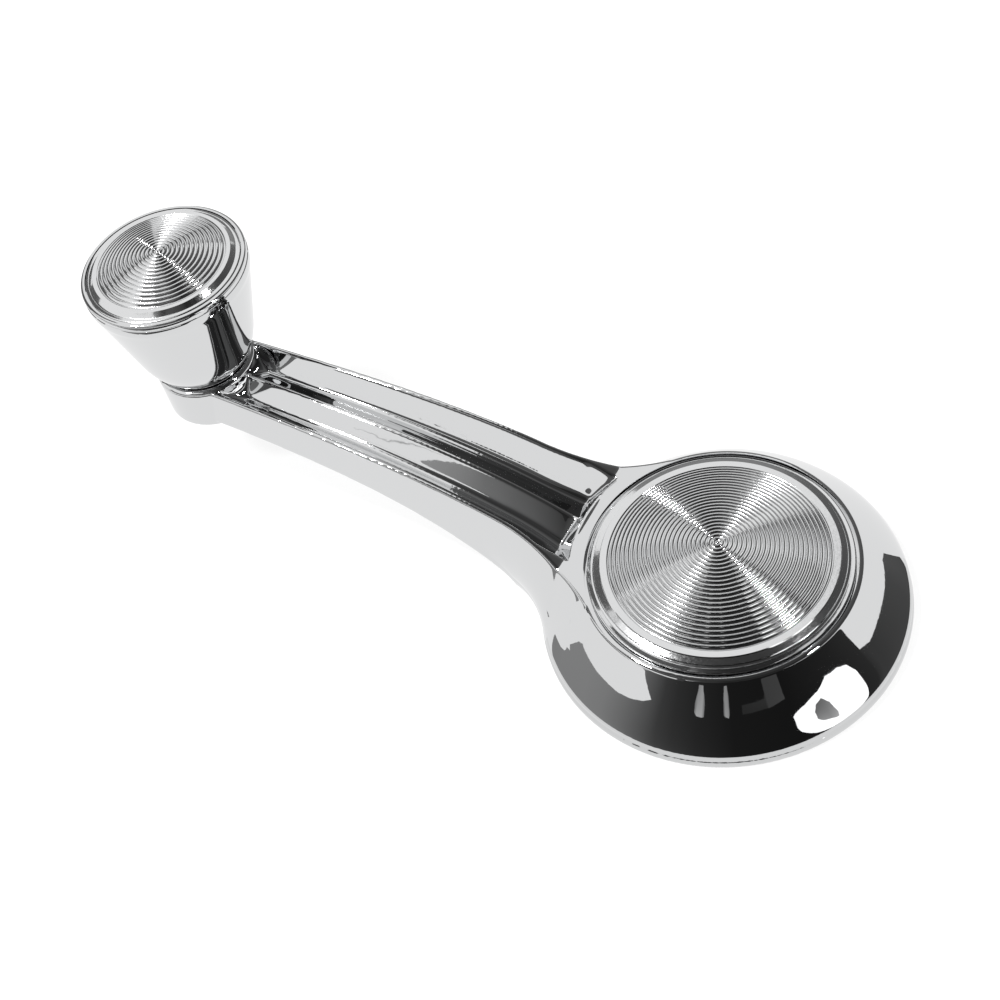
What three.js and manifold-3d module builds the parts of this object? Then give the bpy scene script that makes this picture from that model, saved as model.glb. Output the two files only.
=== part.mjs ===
// Car window winder handle: a hollow-backed chromed crank arm with a domed, ring-grooved disc
// in its hub, a spinning knob with a smaller disc of the same kind, and a spring clip that
// holds the hub on the splined shaft in the door.
//
// Millimetres. The origin is where the hub's axis meets the plane of its back rim, +Z points
// away from the door along that axis, and the arm runs along -X to the knob. Inside the group
// the pieces are drawn with the arm along +X, and the group is turned half a turn.

import * as THREE from 'three';
import { mergeVertices } from 'three/addons/utils/BufferGeometryUtils.js';
import Module from 'manifold-3d';

const wasm = await Module();
wasm.setup();

// Clearances
const seatGap = 0.3;
const runningClearance = 0.08;
const cutOverrun = 2;

// Hub of the crank arm
const hubRimRadius = 31.7;
const hubRimHeight = 1.4;
const hubShoulderInset = 0.3;
const hubShoulderRise = 0.3;
const flankBulge = 1.1;
const flankPeakShare = 0.3;
const landRadius = 23.4;
const landHeight = 13.3;
const hubWall = 2.4;
const webThickness = 2.2;

// Splined socket at the back of the hub, with the slots of the retaining clip
const socketBossRadius = 9;
const socketRootRadius = 5.3;
const socketToothHeight = 0.55;
const socketToothCount = 20;
const socketDepth = 12;
const socketRoof = 2.2;
const socketLeadIn = 0.6;
const slotFloorHeight = 1.8;
const hubRibCount = 4;
const hubRibThickness = 1.8;
const hubRibDrop = 3.6;

// Arm
const knobReach = 104.1;
const armRoot = 17;
const blendInset = 0.1;
const rimRiseStart = 24.5;
const rimTipDrop = 0.5;
const rimHubHalfWidth = 8.7;
const rimTipHalfWidth = 6.8;
const rimLandWidth = 0.65;
const baseRiseStart = 36;
const baseTipRise = 1.3;
const baseHubHalfWidth = 9.5;
const baseTipHalfWidth = 7.9;
const creaseHubHeight = 11.9;
const creaseTipDrop = 1.5;
const valleyHubHeight = 8.8;
const valleyTipDrop = 4;
const troughStart = 28;
const troughMouthHalfWidth = 9.6;
const baseFlareRadius = 16;
const rimFlareRadius = 36;
const endWallTopRadius = 25.4;
const endWallFootRadius = 29;
const endWallFootHeight = 8.8;
const armWall = 2;
const armRoof = 1.9;
const rimBend = 2.6;
const creaseBend = 2.3;
const valleyBend = 2;
const baseBend = 2.9;
const valleyWidthShare = 0.49;
const pocketShoulderShare = 0.35;

// Boss at the arm's tip, which carries the knob
const tipBossRadius = 9.5;
const tipBossTopHeight = 24.4;
const tipBossDepth = 9.2;
const tipBossEdge = 0.6;
const tipSkirtReach = 5;
const tipSkirtDrop = 3.3;

// Domed discs, spun from sheet
const discSheet = 0.8;
const grooveDepth = 0.22;
const hubGrooveRadius = 18.8;
const hubGrooveHeight = 14.8;
const hubDomeRise = 3.8;
const hubGrooveCount = 25;
const hubDiscRadius = 22.6;
const hubRingWidth = 1;
const hubStepCount = 3;
const knobGrooveRadius = 11.8;
const knobDomeRise = 2.4;
const knobGrooveCount = 15;
const knobDiscRadius = 14;
const knobRingWidth = 0.9;
const knobStepCount = 2;
const stepRiserShare = 0.3;

// Knob
const knobHeight = 23;
const knobLipRadius = 15.1;
const knobLipHeight = 3.2;
const knobLipEdge = 0.4;
const knobNeckRadius = 14.9;
const knobFootRadius = 11.4;
const knobFootHeight = 5.4;
const knobFootBulge = 0.25;
const knobFloorThickness = 2.8;
const knobBaseRadius = 9.1;
const knobWall = 1.8;
const knobTubeRadius = 5.6;
const knobTubeTop = 13.2;
const discStandProud = 0.9;

// Spindle and washers
const thrustWasherThickness = 0.6;
const thrustWasherRadius = 8.4;
const spindleRadius = 3.1;
const spindleHeadRadius = 5.2;
const spindleHeadThickness = 1.8;
const spindleTailRadius = 2.4;
const peenRadius = 3.9;
const peenThickness = 1.3;
const peenRecessDepth = 1.8;
const springWasherSheet = 0.4;
const springWasherWave = 0.35;
const springWasherRadius = 5.1;
const springWaveCount = 3;

// Retaining clip
const clipStrip = 1.6;
const clipHeight = 1.8;
const clipLegOffset = 5.1;
const clipLegReach = 8.6;
const clipBowRadius = 6.6;
const clipBowStandoff = 1.4;
const clipEndTurn = 1.9;

// Facets round a full turn
const coarseTurn = 32;
const middleTurn = 40;
const hubTurn = 64;
const discTurn = 32;
const flankSteps = 4;
const cornerSteps = 4;

// Sizes that follow from the ones above
const quarterTurn = Math.PI / 2;
const recessRadius = hubDiscRadius + seatGap;
const recessFloor = landHeight - discSheet - seatGap;
const padTop = socketDepth + socketRoof;
const webUnderside = recessFloor - webThickness;
const tipX = knobReach - tipBossRadius;
const tipBossBaseHeight = tipBossTopHeight - tipBossDepth;
const rimTipHeight = tipBossTopHeight - rimTipDrop;
const creaseTipHeight = tipBossTopHeight - creaseTipDrop;
const valleyTipHeight = tipBossTopHeight - valleyTipDrop;
const baseTipHeight = tipBossBaseHeight + baseTipRise;
const thrustWasherBase = tipBossTopHeight + seatGap;
const knobBase = thrustWasherBase + thrustWasherThickness + seatGap;
const knobTop = knobBase + knobHeight;
const knobGrooveHeight = knobTop + discStandProud;
const knobDiscEdge = knobTop;
const clipSlotHeight = clipHeight + 2 * seatGap;

// Solids from geometries and back

function solidOf(geometry) {
  const bare = geometry.clone();
  bare.deleteAttribute('normal');
  bare.deleteAttribute('uv');
  const merged = mergeVertices(bare);
  const corners = merged.index.array;
  const kept = [];
  for (let i = 0; i < corners.length; i += 3) {
    const [a, b, c] = [corners[i], corners[i + 1], corners[i + 2]];
    if (a !== b && b !== c && c !== a) kept.push(a, b, c);
  }
  return new wasm.Manifold(new wasm.Mesh({
    numProp: 3,
    vertProperties: new Float32Array(merged.attributes.position.array),
    triVerts: new Uint32Array(kept),
  }));
}

function geometryOf(solid) {
  const mesh = solid.getMesh();
  const geometry = new THREE.BufferGeometry();
  geometry.setAttribute('position', new THREE.BufferAttribute(mesh.vertProperties, 3));
  geometry.setIndex(new THREE.BufferAttribute(mesh.triVerts, 1));
  geometry.computeVertexNormals();
  return geometry;
}

// A closed profile of [radius, height] corners, listed with the solid on the left, turned
// about the Z axis.
function revolve(profile, segments) {
  const outline = [...profile, profile[0]].map(([r, z]) => new THREE.Vector2(r, z));
  const geometry = new THREE.LatheGeometry(outline, segments);
  geometry.rotateX(quarterTurn);
  return solidOf(geometry);
}

// A skin over sections that all have the same number of corners. An open run of sections is
// closed with a flat cap at each end, and a ring of sections joins its last to its first.
function loft(sections, ring = false) {
  const count = sections[0].length;
  const positions = sections.flat().flatMap((point) => [point.x, point.y, point.z]);
  const index = [];
  const last = ring ? sections.length : sections.length - 1;
  for (let s = 0; s < last; s += 1) {
    const next = (s + 1) % sections.length;
    for (let i = 0; i < count; i += 1) {
      const j = (i + 1) % count;
      const [a, b] = [s * count + i, s * count + j];
      const [c, d] = [next * count + i, next * count + j];
      index.push(a, b, c, b, d, c);
    }
  }
  if (!ring) {
    const cap = (start, flip) => {
      const flat = sections[start].map((point) => new THREE.Vector2(point.y, point.z));
      for (const [a, b, c] of THREE.ShapeUtils.triangulateShape(flat, [])) {
        const base = start * count;
        if (flip) index.push(base + a, base + b, base + c);
        else index.push(base + a, base + c, base + b);
      }
    };
    cap(0, false);
    cap(sections.length - 1, true);
  }
  const geometry = new THREE.BufferGeometry();
  geometry.setAttribute('position', new THREE.Float32BufferAttribute(positions, 3));
  geometry.setIndex(index);
  return solidOf(geometry);
}

function block(low, high) {
  const size = high.map((value, i) => value - low[i]);
  const centre = high.map((value, i) => (value + low[i]) / 2);
  const geometry = new THREE.BoxGeometry(...size);
  geometry.translate(...centre);
  return solidOf(geometry);
}

// Curves of the arm

// A rise from 0 to 1 that starts steeply and levels off, between two places along the arm.
function rise(x, from, to, bend) {
  const run = THREE.MathUtils.clamp((x - from) / (to - from), 0, 1);
  return (1 - Math.exp(-bend * run)) / (1 - Math.exp(-bend));
}

const mix = THREE.MathUtils.lerp;
const rimHeightAt = (x) => mix(landHeight, rimTipHeight, rise(x, rimRiseStart, tipX, rimBend));
const baseHeightAt = (x) => mix(0, baseTipHeight, rise(x, baseRiseStart, tipX, baseBend));
const troughRise = (x, bend) => rise(x, troughStart, tipX, bend);
const creaseHeightAt = (x) => mix(creaseHubHeight, creaseTipHeight, troughRise(x, creaseBend));
const valleyHeightAt = (x) => mix(valleyHubHeight, valleyTipHeight, troughRise(x, valleyBend));
const armRun = (x) => (x - baseRiseStart) / (tipX - baseRiseStart);
const rimLineAt = (x) => mix(rimHubHalfWidth, rimTipHalfWidth, armRun(x));
const baseLineAt = (x) => mix(baseHubHalfWidth, baseTipHalfWidth, armRun(x));

// The hub's bulging flank, from the top of its rim (0) to its flat land (1), as [radius, height].
// It bulges most at the peak share.
const flankFoot = [hubRimRadius - hubShoulderInset, hubRimHeight + hubShoulderRise];
function flankPoint(share) {
  const across = landRadius - flankFoot[0];
  const up = landHeight - flankFoot[1];
  const lean = Math.log(1 / 2) / Math.log(flankPeakShare);
  const bulge = flankBulge * Math.sin(Math.PI * share ** lean) / Math.hypot(across, up);
  return [flankFoot[0] + across * share + up * bulge, flankFoot[1] + up * share - across * bulge];
}

const flank = [[hubRimRadius, 0], [hubRimRadius, hubRimHeight]];
for (let i = 0; i <= flankSteps; i += 1) flank.push(flankPoint(i / flankSteps));
const flankMiddle = flankPoint(1 / 2);

// Half the arm's width at one level of its side. The side keeps its own line along the arm,
// and near the hub it flares in an arc that touches the hub's flank at the same level. Past
// that point the side runs just inside the flank.
function halfWidthAt(x, level) {
  const [radius, height] = flank[level];
  const share = height / landHeight;
  const flare = mix(baseFlareRadius, rimFlareRadius, share);
  const line = (at) => mix(baseLineAt(at), rimLineAt(at), share);
  const lineHere = line(radius);
  const arcX = Math.sqrt((radius + flare) ** 2 - (lineHere + flare) ** 2);
  const touchX = arcX * radius / (radius + flare);
  if (x >= arcX) return line(x) + lineHere - line(arcX);
  if (x >= touchX) return lineHere + flare - Math.sqrt(flare ** 2 - (arcX - x) ** 2);
  return Math.sqrt((radius - blendInset) ** 2 - x ** 2);
}

// Places along the arm, closer together where it flares into the hub.
function armStations(from, to) {
  const flareEnd = baseRiseStart + baseFlareRadius;
  const stations = [];
  const fine = 24;
  const coarse = 9;
  for (let i = 0; i < fine; i += 1) stations.push(mix(from, flareEnd, i / fine));
  for (let i = 0; i <= coarse; i += 1) stations.push(mix(flareEnd, to, i / coarse));
  return stations;
}

function mirrored(half, x) {
  const right = half.map(([y, z]) => new THREE.Vector3(x, y, z));
  const left = half.filter(([y]) => y > 0).map(([y, z]) => new THREE.Vector3(x, -y, z)).reverse();
  return [...right, ...left];
}

// Outside of the arm, with a flat top from rim to rim.
function armBody() {
  return loft(armStations(armRoot, knobReach).map((x) => {
    const foot = baseHeightAt(x);
    const top = rimHeightAt(x);
    const side = flank.map(([, height], level) => [
      halfWidthAt(x, level),
      mix(foot, top, height / landHeight),
    ]);
    return mirrored(side, x);
  }));
}

// The space of the trough along the arm's front: two valleys with a ridge between them. It
// ends at a sloping wall round the hub and at a skirt round the boss.
function troughSpace() {
  const topLevel = flank.length - 1;
  const space = loft(armStations(landRadius, knobReach).map((x) => {
    const lip = Math.min(halfWidthAt(x, topLevel) - rimLandWidth, troughMouthHalfWidth);
    const valley = halfWidthAt(x, topLevel) * valleyWidthShare;
    return mirrored([
      [0, creaseHeightAt(x)],
      [valley, valleyHeightAt(x)],
      [lip, rimHeightAt(x)],
      [lip, rimHeightAt(x) + cutOverrun],
    ], x);
  }));
  const wallRun = (endWallFootRadius - endWallTopRadius) / (landHeight - endWallFootHeight);
  const headroom = rimTipHeight + cutOverrun - landHeight;
  const endWall = revolve([
    [0, 0],
    [endWallFootRadius, 0],
    [endWallFootRadius, endWallFootHeight],
    [endWallTopRadius, landHeight],
    [endWallTopRadius - headroom * wallRun, landHeight + headroom],
    [0, landHeight + headroom],
  ], hubTurn);
  const skirtTop = rimTipHeight - tipBossEdge;
  const fillet = [];
  for (let i = cornerSteps; i >= 0; i -= 1) {
    const angle = i / cornerSteps * quarterTurn;
    fillet.push([
      tipBossRadius + tipSkirtReach * (1 - Math.cos(angle)),
      skirtTop - tipSkirtDrop * Math.sin(angle),
    ]);
  }
  const skirt = revolve([
    [0, 0],
    [tipBossRadius + tipSkirtReach, 0],
    ...fillet,
    [tipBossRadius, tipBossTopHeight + cutOverrun],
    [0, tipBossTopHeight + cutOverrun],
  ], middleTurn).translate(knobReach, 0, 0);
  return space.subtract(endWall).subtract(skirt);
}

// The hollow in the arm's back, with the same wall all round.
function armPocket(hubSolid) {
  const topLevel = flank.length - 1;
  const end = tipX - armWall;
  const space = loft(armStations(landRadius, end).map((x) => {
    const valley = valleyHeightAt(x);
    const shoulder = mix(valley, rimHeightAt(x), pocketShoulderShare);
    const rim = halfWidthAt(x, topLevel);
    return mirrored([
      [halfWidthAt(x, 0) - armWall, baseHeightAt(x) - cutOverrun],
      [rim - armWall, shoulder - armRoof],
      [rim * valleyWidthShare, valley - armRoof],
      [0, creaseHeightAt(x) - armRoof],
    ], x);
  }));
  return space.subtract(hubSolid);
}

function hubBody() {
  return revolve([[0, 0], ...flank, [0, landHeight]], hubTurn);
}

// The hollow in the hub's back, round the socket's boss.
function hubCup() {
  return revolve([
    [socketBossRadius, -cutOverrun],
    [hubRimRadius - hubWall, -cutOverrun],
    [hubRimRadius - hubWall, hubRimHeight],
    [flankMiddle[0] - hubWall, flankMiddle[1] - hubWall / 2],
    [landRadius - hubWall / 2, webUnderside],
    [socketBossRadius, webUnderside],
  ], hubTurn);
}

// Low ribs that brace the socket's boss against the hub's wall.
function hubRibs() {
  let ribs;
  for (let i = 0; i < hubRibCount; i += 1) {
    const rib = block(
      [socketRootRadius + socketLeadIn, -hubRibThickness / 2, webUnderside - hubRibDrop],
      [landRadius, hubRibThickness / 2, recessFloor],
    ).rotate([0, 0, (i + 1 / 2) * 360 / hubRibCount]);
    ribs = ribs ? ribs.add(rib) : rib;
  }
  return ribs;
}

// The seat of the hub's disc, round a pad that roofs the socket.
function discSeat() {
  const top = padTop + cutOverrun;
  return revolve([
    [socketBossRadius, recessFloor],
    [recessRadius, recessFloor],
    [recessRadius, top],
    [0, top],
    [0, padTop],
    [socketBossRadius, padTop],
  ], hubTurn);
}

// The socket's space: straight-sided teeth round a bore, with a lead-in at its mouth.
function socketSpace() {
  const outline = new THREE.Shape();
  const steps = socketToothCount * 2;
  for (let i = 0; i < steps; i += 1) {
    const radius = socketRootRadius - (i % 2) * socketToothHeight;
    const angle = i / steps * 2 * Math.PI;
    const point = [radius * Math.cos(angle), radius * Math.sin(angle)];
    if (i === 0) outline.moveTo(...point);
    else outline.lineTo(...point);
  }
  outline.closePath();
  const geometry = new THREE.ExtrudeGeometry(outline, {
    depth: socketDepth + cutOverrun,
    bevelEnabled: false,
  });
  geometry.translate(0, 0, -cutOverrun);
  const leadIn = revolve([
    [0, -socketLeadIn],
    [socketRootRadius + socketLeadIn, -socketLeadIn],
    [socketRootRadius + socketLeadIn, 0],
    [socketRootRadius - socketToothHeight, socketLeadIn + socketToothHeight],
    [0, socketLeadIn + socketToothHeight],
  ], middleTurn);
  return solidOf(geometry).add(leadIn);
}

// Slots on both sides of the boss, in which the clip's legs cross the edge of the bore.
function clipSlots() {
  const inner = clipLegOffset - clipStrip / 2 - seatGap;
  const reach = socketBossRadius + cutOverrun;
  const side = (from, to) => block(
    [-reach, from, slotFloorHeight],
    [reach, to, slotFloorHeight + clipSlotHeight],
  );
  return side(inner, reach).add(side(-reach, -inner));
}

function tipBoss() {
  return revolve([
    [0, tipBossBaseHeight],
    [tipBossRadius - tipBossEdge, tipBossBaseHeight],
    [tipBossRadius, tipBossBaseHeight + tipBossEdge],
    [tipBossRadius, tipBossTopHeight - tipBossEdge],
    [tipBossRadius - tipBossEdge, tipBossTopHeight],
    [0, tipBossTopHeight],
  ], middleTurn).translate(knobReach, 0, 0);
}

// Hole for the spindle's tail, with a recess below for its peened end.
function spindleHole() {
  return revolve([
    [0, tipBossBaseHeight - cutOverrun],
    [peenRadius + seatGap, tipBossBaseHeight - cutOverrun],
    [peenRadius + seatGap, tipBossBaseHeight + peenRecessDepth],
    [spindleTailRadius + seatGap, tipBossBaseHeight + peenRecessDepth],
    [spindleTailRadius + seatGap, tipBossTopHeight + cutOverrun],
    [0, tipBossTopHeight + cutOverrun],
  ], coarseTurn).translate(knobReach, 0, 0);
}

function crankArm() {
  const hub = hubBody();
  const armOutside = armBody().subtract(troughSpace()).subtract(armPocket(hub));
  const hollowHub = hub.add(armOutside).subtract(hubCup());
  const pad = revolve([
    [0, slotFloorHeight],
    [socketBossRadius, slotFloorHeight],
    [socketBossRadius, padTop],
    [0, padTop],
  ], hubTurn);
  return hollowHub
    .add(hubRibs())
    .add(pad)
    .subtract(discSeat())
    .add(tipBoss())
    .subtract(socketSpace())
    .subtract(clipSlots())
    .subtract(spindleHole());
}

// A spun disc: a dome with ring grooves, a flat ring round it and fine steps down to its edge.
function grooveDisc(sizes) {
  const { grooveRadius, grooveHeight, domeRise, grooveCount } = sizes;
  const { ringWidth, stepCount, edgeRadius, edgeHeight } = sizes;
  const dome = (r) => grooveHeight + domeRise * (1 - (r / grooveRadius) ** 2);
  const top = [];
  const ringEnd = grooveRadius + ringWidth;
  const stepRun = (edgeRadius - ringEnd) / stepCount;
  const stepDrop = (grooveHeight - edgeHeight) / stepCount;
  for (let i = stepCount - 1; i >= 0; i -= 1) {
    const outer = ringEnd + stepRun * (i + 1);
    const height = edgeHeight + stepDrop * (stepCount - 1 - i);
    top.push([outer, height]);
    top.push([outer - stepRun * (1 - stepRiserShare), height]);
  }
  top.push([ringEnd, grooveHeight]);
  for (let i = grooveCount * 2; i >= 0; i -= 1) {
    const r = grooveRadius * i / (grooveCount * 2);
    top.push([r, dome(r) - (i % 2) * grooveDepth]);
  }
  const underside = [];
  const undersideSteps = 6;
  for (let i = 0; i <= undersideSteps; i += 1) {
    const r = grooveRadius * i / undersideSteps;
    underside.push([r, dome(r) - discSheet]);
  }
  underside.push([edgeRadius, edgeHeight - discSheet]);
  return revolve([...underside, ...top], discTurn);
}

function hubDisc() {
  return grooveDisc({
    grooveRadius: hubGrooveRadius,
    grooveHeight: hubGrooveHeight,
    domeRise: hubDomeRise,
    grooveCount: hubGrooveCount,
    ringWidth: hubRingWidth,
    stepCount: hubStepCount,
    edgeRadius: hubDiscRadius,
    edgeHeight: landHeight,
  });
}

function knobDisc() {
  return grooveDisc({
    grooveRadius: knobGrooveRadius,
    grooveHeight: knobGrooveHeight,
    domeRise: knobDomeRise,
    grooveCount: knobGrooveCount,
    ringWidth: knobRingWidth,
    stepCount: knobStepCount,
    edgeRadius: knobDiscRadius,
    edgeHeight: knobDiscEdge,
  });
}

// The knob: a hollow cup that widens towards its lip, with a tube that turns on the spindle.
function knobShell() {
  const bore = spindleRadius + runningClearance;
  const lipFoot = knobTop - knobLipHeight;
  const footTop = knobBase + knobFootHeight;
  const floorTop = knobBase + knobFloorThickness;
  const floorShare = knobFloorThickness / knobFootHeight;
  const floorRadius = mix(knobBaseRadius, knobFootRadius, floorShare) - knobWall;
  const seat = knobTop - discSheet - seatGap;
  const foot = [];
  for (let i = 0; i <= cornerSteps; i += 1) {
    const share = i / cornerSteps;
    const bulge = knobFootBulge * Math.sin(Math.PI * share);
    foot.push([mix(knobBaseRadius, knobFootRadius, share) + bulge, mix(knobBase, footTop, share)]);
  }
  const outside = [
    ...foot,
    [knobNeckRadius, lipFoot],
    [knobLipRadius, lipFoot + knobLipEdge],
    [knobLipRadius, knobTop - knobLipEdge],
    [knobLipRadius - knobLipEdge, knobTop],
    [knobDiscRadius + seatGap, knobTop],
  ];
  const inside = [
    [knobDiscRadius + seatGap, seat],
    [knobNeckRadius - knobWall, seat],
    [knobNeckRadius - knobWall, lipFoot],
    [knobFootRadius - knobWall, footTop],
    [floorRadius, floorTop],
    [knobTubeRadius, floorTop],
    [knobTubeRadius, knobBase + knobTubeTop],
    [bore, knobBase + knobTubeTop],
  ];
  return revolve([[bore, knobBase], ...outside, ...inside], middleTurn);
}

// The spindle: a headed pin whose shoulder stands on the boss and whose tail is peened below.
function knobSpindle() {
  const shoulder = tipBossTopHeight + seatGap;
  const headBase = knobBase + knobTubeTop + springWasherSheet + 2 * springWasherWave + 2 * seatGap;
  const peenTop = tipBossBaseHeight + peenRecessDepth - seatGap;
  return revolve([
    [0, peenTop - peenThickness],
    [peenRadius - peenThickness / 2, peenTop - peenThickness],
    [peenRadius, peenTop - peenThickness / 2],
    [peenRadius, peenTop],
    [spindleTailRadius, peenTop],
    [spindleTailRadius, shoulder],
    [spindleRadius, shoulder],
    [spindleRadius, headBase],
    [spindleHeadRadius, headBase],
    [spindleHeadRadius, headBase + spindleHeadThickness / 2],
    [spindleHeadRadius - spindleHeadThickness / 2, headBase + spindleHeadThickness],
    [0, headBase + spindleHeadThickness],
  ], coarseTurn);
}

// A wavy spring washer under the spindle's head, which takes up the knob's end play.
function springWasher() {
  const inner = spindleRadius + seatGap;
  const middle = knobBase + knobTubeTop + seatGap + springWasherWave;
  const sections = [];
  for (let i = 0; i < middleTurn; i += 1) {
    const angle = i / middleTurn * 2 * Math.PI;
    const low = middle + springWasherWave * Math.cos(springWaveCount * angle);
    const high = low + springWasherSheet;
    sections.push([[inner, low], [inner, high], [springWasherRadius, high], [springWasherRadius, low]]
      .map(([r, z]) => new THREE.Vector3(r * Math.cos(angle), r * Math.sin(angle), z)));
  }
  return loft(sections, true);
}

function thrustWasher() {
  const inner = spindleRadius + seatGap;
  return revolve([
    [inner, thrustWasherBase],
    [thrustWasherRadius, thrustWasherBase],
    [thrustWasherRadius, thrustWasherBase + thrustWasherThickness],
    [inner, thrustWasherBase + thrustWasherThickness],
  ], middleTurn);
}

// The clip: a horseshoe of flat spring strip. Its legs lie in the boss's slots, its bow stands
// clear of the boss on the arm's side, and its ends turn outwards for the tool that removes it.
function retainingClip() {
  const bowCentre = socketBossRadius + clipBowStandoff - clipBowRadius + clipStrip / 2;
  const opening = Math.asin(clipLegOffset / clipBowRadius);
  const centreline = [
    [-clipLegReach - clipEndTurn, clipLegOffset + clipEndTurn],
    [-clipLegReach - clipEndTurn / 2, clipLegOffset + clipEndTurn / 3],
    [-clipLegReach, clipLegOffset],
  ];
  const bowSteps = 14;
  for (let i = 0; i <= bowSteps; i += 1) {
    const angle = mix(Math.PI - opening, -(Math.PI - opening), i / bowSteps);
    centreline.push([bowCentre + clipBowRadius * Math.cos(angle), clipBowRadius * Math.sin(angle)]);
  }
  centreline.push(...centreline.slice(0, 3).map(([x, y]) => [x, -y]).reverse());
  const edge = (side) => centreline.map(([x, y], i) => {
    const [ax, ay] = centreline[Math.max(i - 1, 0)];
    const [bx, by] = centreline[Math.min(i + 1, centreline.length - 1)];
    const length = Math.hypot(bx - ax, by - ay);
    const offset = side * clipStrip / 2 / length;
    return new THREE.Vector2(x - (by - ay) * offset, y + (bx - ax) * offset);
  });
  const outline = new THREE.Shape([...edge(1), ...edge(-1).reverse()]);
  const geometry = new THREE.ExtrudeGeometry(outline, { depth: clipHeight, bevelEnabled: false });
  geometry.translate(0, 0, slotFloorHeight + seatGap);
  return solidOf(geometry);
}

// Materials

const metal = (color, roughness) => new THREE.MeshStandardMaterial({ color, roughness, metalness: 1 });
const chrome = () => metal(0xd9dbdd, 0.08);
const spunAluminium = () => metal(0xcfd1d3, 0.3);
const steel = () => metal(0xa7a9ab, 0.4);
const springSteel = () => metal(0x77787a, 0.5);

// Assembly

const handle = new THREE.Group();
handle.rotation.z = Math.PI;

function place(name, solid, material, parent) {
  const mesh = new THREE.Mesh(geometryOf(solid), material);
  mesh.name = name;
  parent.add(mesh);
}

place('crank_arm', crankArm(), chrome(), handle);
place('hub_disc', hubDisc(), spunAluminium(), handle);
place('retaining_clip', retainingClip(), springSteel(), handle);

const knob = new THREE.Group();
knob.position.x = knobReach;
handle.add(knob);
place('knob_spindle', knobSpindle(), steel(), knob);
place('thrust_washer', thrustWasher(), steel(), knob);
place('spring_washer', springWasher(), springSteel(), knob);
place('knob_shell', knobShell(), chrome(), knob);
place('knob_disc', knobDisc(), spunAluminium(), knob);

export default handle;
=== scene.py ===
import math

import bmesh
import bpy
import numpy as np
from mathutils import Matrix, Vector


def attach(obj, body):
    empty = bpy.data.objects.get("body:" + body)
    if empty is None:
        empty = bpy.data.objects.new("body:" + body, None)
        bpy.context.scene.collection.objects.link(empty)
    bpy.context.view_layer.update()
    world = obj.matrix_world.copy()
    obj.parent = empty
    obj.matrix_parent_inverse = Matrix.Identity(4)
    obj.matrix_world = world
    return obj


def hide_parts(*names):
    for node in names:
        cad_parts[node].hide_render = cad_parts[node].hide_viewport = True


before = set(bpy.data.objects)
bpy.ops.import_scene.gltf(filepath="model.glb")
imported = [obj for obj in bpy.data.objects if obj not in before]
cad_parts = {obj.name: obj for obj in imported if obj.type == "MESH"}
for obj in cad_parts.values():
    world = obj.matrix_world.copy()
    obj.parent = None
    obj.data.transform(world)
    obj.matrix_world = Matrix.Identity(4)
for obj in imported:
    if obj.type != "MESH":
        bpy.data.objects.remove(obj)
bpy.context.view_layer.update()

# Sizes in millimetres, drawn with the arm along +X and turned half a turn into the frame
MM = 0.001
SEAT_GAP = 0.3
OVERRUN = 2.0

# Hub
HUB_RIM_RADIUS = 31.7
HUB_RIM_HEIGHT = 1.4
HUB_SHOULDER_INSET = 0.3
HUB_SHOULDER_RISE = 0.3
FLANK_BULGE = 1.1
FLANK_PEAK_SHARE = 0.3
FLANK_STEPS = 20
LAND_RADIUS = 23.4
LAND_HEIGHT = 13.3
HUB_WALL = 2.4
WEB_THICKNESS = 2.2
RIB_COUNT = 4
RIB_THICKNESS = 1.8
RIB_DROP = 3.6

# Splined socket and the slots for its clip
SOCKET_BOSS_RADIUS = 9.0
SOCKET_ROOT_RADIUS = 5.3
SOCKET_TOOTH_HEIGHT = 0.55
SOCKET_TOOTH_COUNT = 20
SOCKET_DEPTH = 12.0
SOCKET_ROOF = 2.2
SOCKET_LEAD_IN = 0.6
SLOT_FLOOR = 1.8

# Arm and its trough
KNOB_REACH = 104.1
ARM_ROOT = 17.0
ARM_STATIONS = 150
BLEND_INSET = 0.1
RIM_RISE_START = 24.5
RIM_TIP_DROP = 0.5
RIM_HUB_HALF_WIDTH = 8.7
RIM_TIP_HALF_WIDTH = 6.8
RIM_LAND_WIDTH = 0.65
BASE_RISE_START = 36.0
BASE_HUB_HALF_WIDTH = 9.5
BASE_TIP_HALF_WIDTH = 7.9
CREASE_HUB_HEIGHT = 11.9
CREASE_TIP_DROP = 1.5
VALLEY_HUB_HEIGHT = 8.8
VALLEY_TIP_DROP = 4.0
TROUGH_START = 28.0
TROUGH_MOUTH_HALF_WIDTH = 9.6
BASE_FLARE_RADIUS = 16.0
RIM_FLARE_RADIUS = 36.0
END_WALL_TOP_RADIUS = 25.4
END_WALL_FOOT_RADIUS = 29.0
END_WALL_FOOT_HEIGHT = 8.8
ARM_WALL = 2.0
ARM_ROOF = 1.9
RIM_BEND = 2.6
CREASE_BEND = 2.3
VALLEY_BEND = 2.0
BASE_BEND = 2.9
VALLEY_WIDTH_SHARE = 0.49
POCKET_SHOULDER_SHARE = 0.35

# Boss under the knob
TIP_BOSS_RADIUS = 9.5
TIP_BOSS_TOP = 24.4
TIP_BOSS_DEPTH = 9.2
BASE_TIP_RISE = 1.3
TIP_BOSS_EDGE = 0.6
TIP_SKIRT_REACH = 5.0
TIP_SKIRT_DROP = 3.3
TIP_SKIRT_CORNERS = 17

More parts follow.
